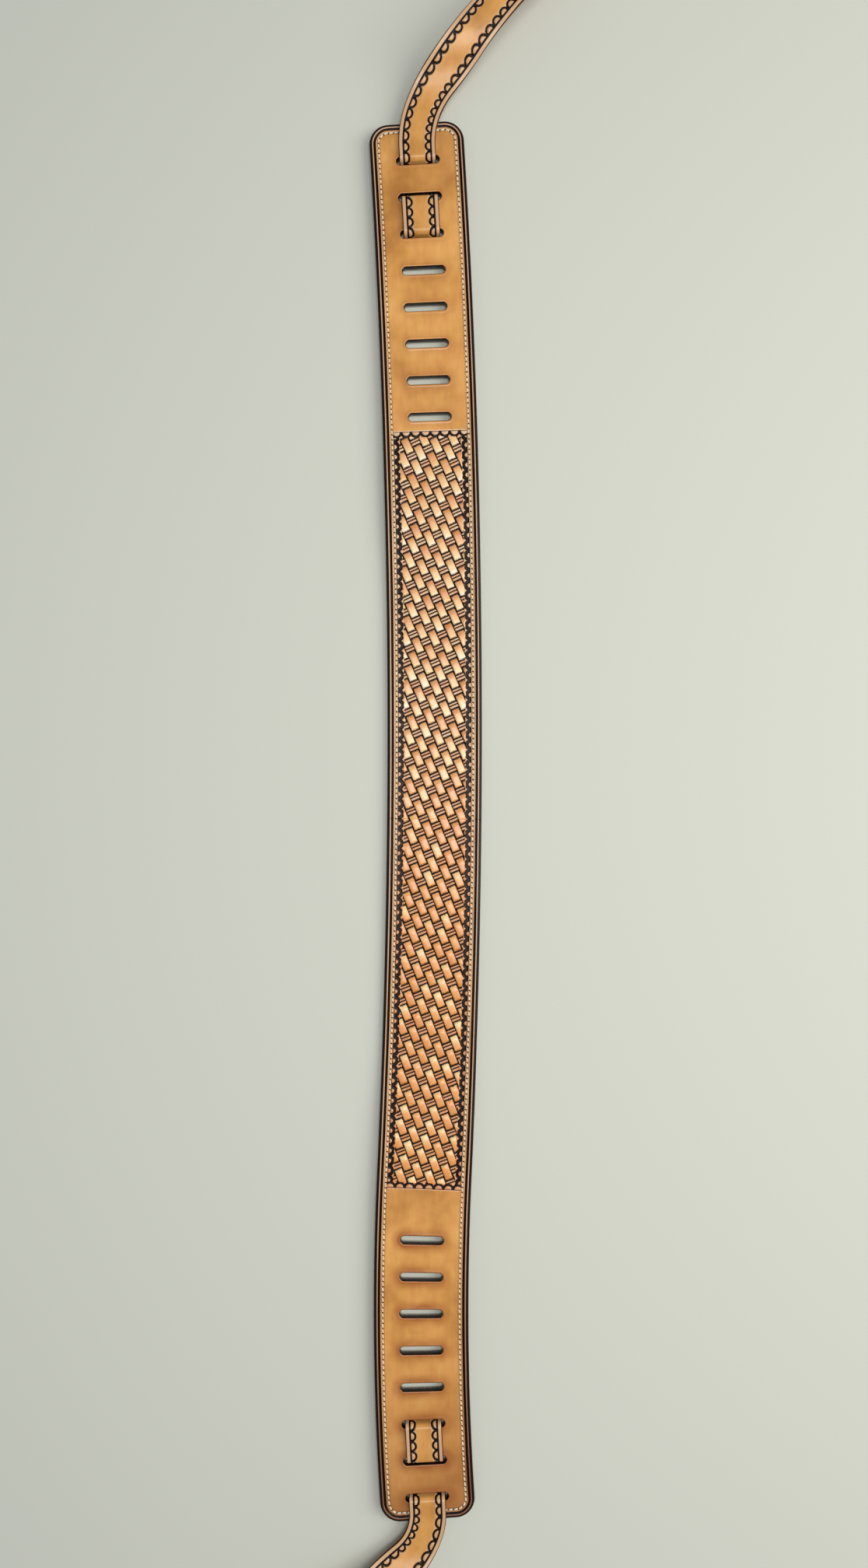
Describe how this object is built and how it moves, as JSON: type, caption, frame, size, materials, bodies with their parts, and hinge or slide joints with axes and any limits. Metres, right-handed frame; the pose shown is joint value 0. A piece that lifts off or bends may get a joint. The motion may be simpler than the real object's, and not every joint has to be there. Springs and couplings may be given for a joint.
{
  "type": "guitar strap",
  "caption": "Wide tooled leather guitar strap whose narrow end straps lace through slots and end in keyholes.",
  "frame": {"origin": "on the back of the lining, at mid-length of the panel", "axes": "+Y along the strap to its upper end, +X across it to the right seen from the face, +Z out of the tooled face"},
  "size_m": [0.3769, 1.3138, 0.03],
  "materials": {
    "tooled_leather": "glossy antiqued tooling",
    "lining_leather": "matte suede side",
    "strap_leather": "satin stamped leather",
    "thread": "waxed thread"
  },
  "bodies": {
    "shoulder_middle": {"face_middle": "tooled_leather", "lining_middle": "lining_leather", "needle_thread_middle": "thread", "bobbin_thread_middle": "thread"},
    "upper_end": {"face_upper_end": "tooled_leather", "lining_upper_end": "lining_leather", "needle_thread_upper_end": "thread", "bobbin_thread_upper_end": "thread"},
    "lower_end": {"face_lower_end": "tooled_leather", "lining_lower_end": "lining_leather", "needle_thread_lower_end": "thread", "bobbin_thread_lower_end": "thread"},
    "upper_lacing": {"laced_upper_strap": "strap_leather", "tail_upper_strap": "strap_leather"},
    "lower_lacing": {"laced_lower_strap": "strap_leather", "tail_lower_strap": "strap_leather"},
    "upper_strap": {"run_upper_strap": "strap_leather", "tab_upper_strap": "strap_leather"},
    "lower_strap": {"run_lower_strap": "strap_leather", "tab_lower_strap": "strap_leather"}
  },
  "joints": [
    {"name": "upper_flex", "type": "hinge", "parent": "shoulder_middle", "child": "upper_end", "pos_m": [0, 0.09, 0], "axis": [1, 0, 0], "range_deg": [-80, 30]},
    {"name": "lower_flex", "type": "hinge", "parent": "shoulder_middle", "child": "lower_end", "pos_m": [0, -0.1, 0], "axis": [-1, 0, 0], "range_deg": [-80, 30]},
    {"name": "upper_adjust", "type": "slide", "parent": "upper_end", "child": "upper_lacing", "axis": [0.0462, -0.9989, 0], "range_m": [0, 0.123], "deforming": ["laced_upper_strap"]},
    {"name": "upper_fold", "type": "hinge", "parent": "upper_lacing", "child": "upper_strap", "pos_m": [-0.00689, 0.44522, 0.01], "axis": [0.9984, 0.0558, 0], "range_deg": [0, 120]},
    {"name": "lower_adjust", "type": "slide", "parent": "lower_end", "child": "lower_lacing", "axis": [-0.0201, 0.9998, 0], "range_m": [0, 0.123], "deforming": ["laced_lower_strap"]},
    {"name": "lower_fold", "type": "hinge", "parent": "lower_lacing", "child": "lower_strap", "pos_m": [-0.0002, -0.45811, 0.01], "axis": [-0.9986, -0.0521, 0], "range_deg": [0, 120]}
  ]
}
